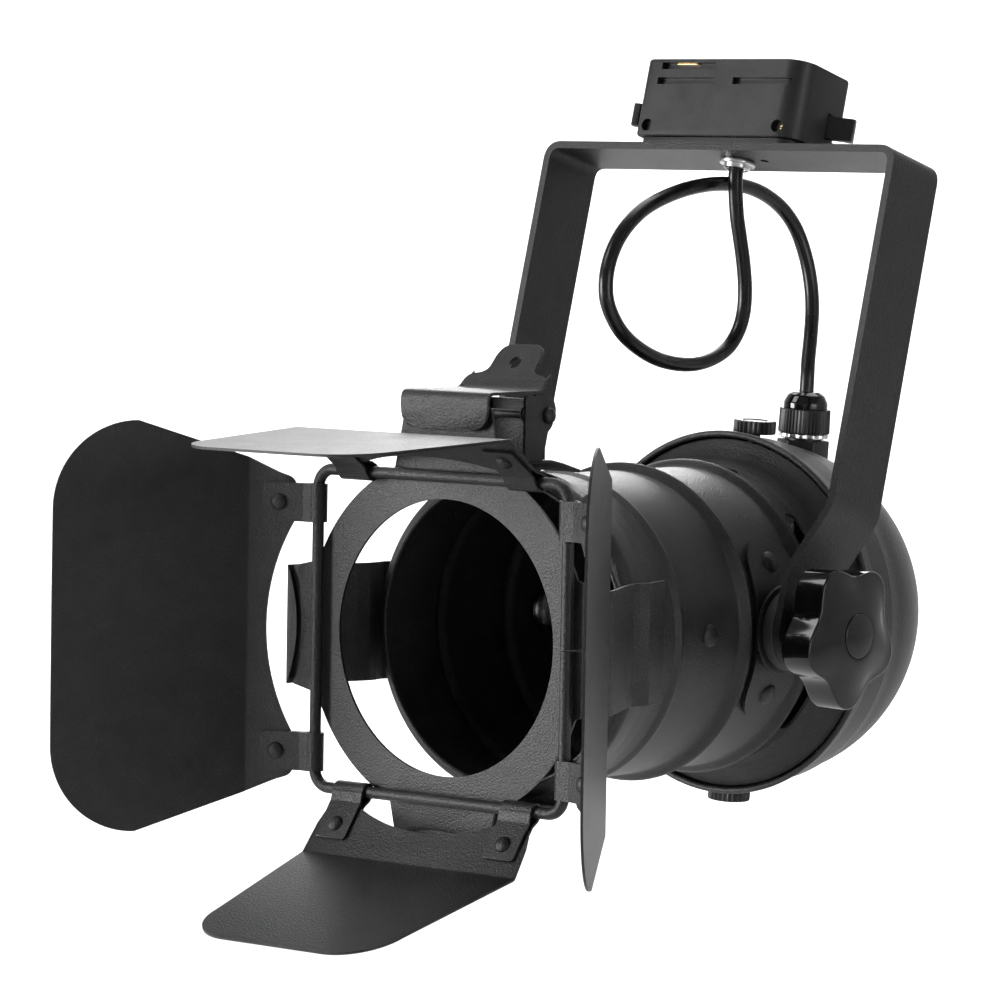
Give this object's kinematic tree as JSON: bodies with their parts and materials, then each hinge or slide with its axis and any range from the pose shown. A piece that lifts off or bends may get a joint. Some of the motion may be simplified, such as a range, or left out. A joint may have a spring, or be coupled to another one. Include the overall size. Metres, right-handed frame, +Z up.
{
  "type": "track spotlight",
  "caption": "Track-mounted spot lamp: a can with a domed rear cap tilts in a bent yoke under a track adapter, with barn doors on a wire frame at its mouth.",
  "frame": {"origin": "middle of the track adapter's top face", "axes": "-Y is the beam's direction in the stored pose, +Z is up, +X is the side of the adapter's plain end"},
  "size_m": [0.2515, 0.3588, 0.3228],
  "materials": {
    "black_powder_coat": "satin black powder coat with a fine grain",
    "moulded_plastic": "satin black moulded plastic",
    "gloss_plastic": "glossy black plastic",
    "cord_pvc": "smooth black cord sheath, semi-gloss",
    "black_fibre": "matt black spacer",
    "zinc_plate": "bright zinc plate",
    "brass": "bright brass",
    "ceramic": "off-white glazed ceramic"
  },
  "bodies": {
    "adapter": {"adapter_housing": "moulded_plastic", "adapter_foot": "moulded_plastic", "adapter_screw_left": "brass", "adapter_screw_right": "brass", "cord_nipple": "zinc_plate"},
    "contact_rotor": {"contact_rotor": "moulded_plastic", "contact_upper": "brass"},
    "lock_rotor": {"lock_rotor": "moulded_plastic"},
    "yoke": {"yoke": "black_powder_coat", "power_cord": "cord_pvc"},
    "can": {"can_shell": "black_powder_coat", "pivot_plate_right": "black_powder_coat", "pivot_plate_left": "black_powder_coat", "pivot_washer_right": "black_powder_coat", "pivot_washer_left": "black_powder_coat", "pivot_spacer_right": "black_fibre", "pivot_spacer_left": "black_fibre", "pivot_stud_right": "zinc_plate", "pivot_stud_left": "zinc_plate", "rear_cap": "black_powder_coat", "inner_strap": "zinc_plate", "holder_screw_top": "zinc_plate", "holder_screw_bottom": "zinc_plate", "lamp_holder": "ceramic", "lamp_shell": "brass", "lamp_contact": "brass", "gland_base": "moulded_plastic", "gland_ring": "zinc_plate", "gland_shell": "moulded_plastic", "gland_dome": "gloss_plastic", "clip_right": "black_powder_coat", "clip_left": "black_powder_coat", "clip_bottom": "black_powder_coat", "latch_bracket": "black_powder_coat", "latch_pin": "black_powder_coat", "latch_spring": "black_powder_coat", "ring_plate": "black_powder_coat", "wire_square": "black_powder_coat"},
    "tilt_knob_right": {"tilt_knob_right": "gloss_plastic", "knob_cap_right": "gloss_plastic"},
    "tilt_knob_left": {"tilt_knob_left": "gloss_plastic", "knob_cap_left": "gloss_plastic"},
    "thumb_screw_top": {"thumb_screw_top": "moulded_plastic"},
    "thumb_screw_bottom": {"thumb_screw_bottom": "moulded_plastic"},
    "latch": {"latch": "black_powder_coat"},
    "leaf_top": {"leaf_top": "black_powder_coat", "strap_top_a": "black_powder_coat", "strap_top_b": "black_powder_coat"},
    "leaf_bottom": {"leaf_bottom": "black_powder_coat", "strap_bottom_a": "black_powder_coat", "strap_bottom_b": "black_powder_coat"},
    "leaf_left": {"leaf_left": "black_powder_coat", "strap_left_a": "black_powder_coat", "strap_left_b": "black_powder_coat"},
    "leaf_right": {"leaf_right": "black_powder_coat", "strap_right_a": "black_powder_coat", "strap_right_b": "black_powder_coat"}
  },
  "joints": [
    {"name": "contact_lever_turn", "type": "hinge", "parent": "adapter", "child": "contact_rotor", "pos_m": [-0.0175, -0.00543, -0.02028], "axis": [0, -0.2588, -0.9659], "range_deg": [0, 90]},
    {"name": "lock_lever_turn", "type": "hinge", "parent": "adapter", "child": "lock_rotor", "pos_m": [0.0195, -0.00543, -0.02028], "axis": [0, 0.2588, 0.9659], "range_deg": [0, 90]},
    {"name": "pan", "type": "hinge", "parent": "adapter", "child": "yoke", "pos_m": [0.0025, -0.00893, -0.03332], "axis": [0, 0.2588, 0.9659], "range_deg": [-175, 175]},
    {"name": "tilt", "type": "hinge", "parent": "yoke", "child": "can", "pos_m": [0.0025, -0.05733, -0.21395], "axis": [1, 0, 0], "range_deg": [-50, 75], "deforming": ["power_cord"]},
    {"name": "knob_right_turn", "type": "hinge", "parent": "can", "child": "tilt_knob_right", "pos_m": [0.0875, -0.05733, -0.21395], "axis": [1, 0, 0], "continuous": true},
    {"name": "knob_left_turn", "type": "hinge", "parent": "can", "child": "tilt_knob_left", "pos_m": [-0.0825, -0.05733, -0.21395], "axis": [-1, 0, 0], "continuous": true},
    {"name": "thumb_screw_top_turn", "type": "hinge", "parent": "can", "child": "thumb_screw_top", "pos_m": [0.0025, -0.00083, -0.21395], "axis": [0.061, 0, 0.9981], "continuous": true},
    {"name": "thumb_screw_bottom_turn", "type": "hinge", "parent": "can", "child": "thumb_screw_bottom", "pos_m": [0.0025, -0.00083, -0.21395], "axis": [-0.061, 0, -0.9981], "continuous": true},
    {"name": "latch_lift", "type": "hinge", "parent": "can", "child": "latch", "pos_m": [0.0025, -0.15233, -0.13155], "axis": [-1, 0, 0], "range_deg": [0, 35], "stiffness_Nm_per_rad": 0.05, "springref_deg": -34.38},
    {"name": "leaf_top_swing", "type": "hinge", "parent": "can", "child": "leaf_top", "pos_m": [0.0025, -0.18843, -0.15395], "axis": [-1, 0, 0], "range_deg": [-41.5, 46.5]},
    {"name": "leaf_bottom_swing", "type": "hinge", "parent": "can", "child": "leaf_bottom", "pos_m": [0.0025, -0.18843, -0.27395], "axis": [1, 0, 0], "range_deg": [-60.5, 35.5]},
    {"name": "leaf_left_swing", "type": "hinge", "parent": "can", "child": "leaf_left", "pos_m": [-0.0575, -0.18843, -0.21395], "axis": [0, 0, -1], "range_deg": [-46, 22]},
    {"name": "leaf_right_swing", "type": "hinge", "parent": "can", "child": "leaf_right", "pos_m": [0.0625, -0.18843, -0.21395], "axis": [0, 0, 1], "range_deg": [-48.5, 19.5]}
  ]
}
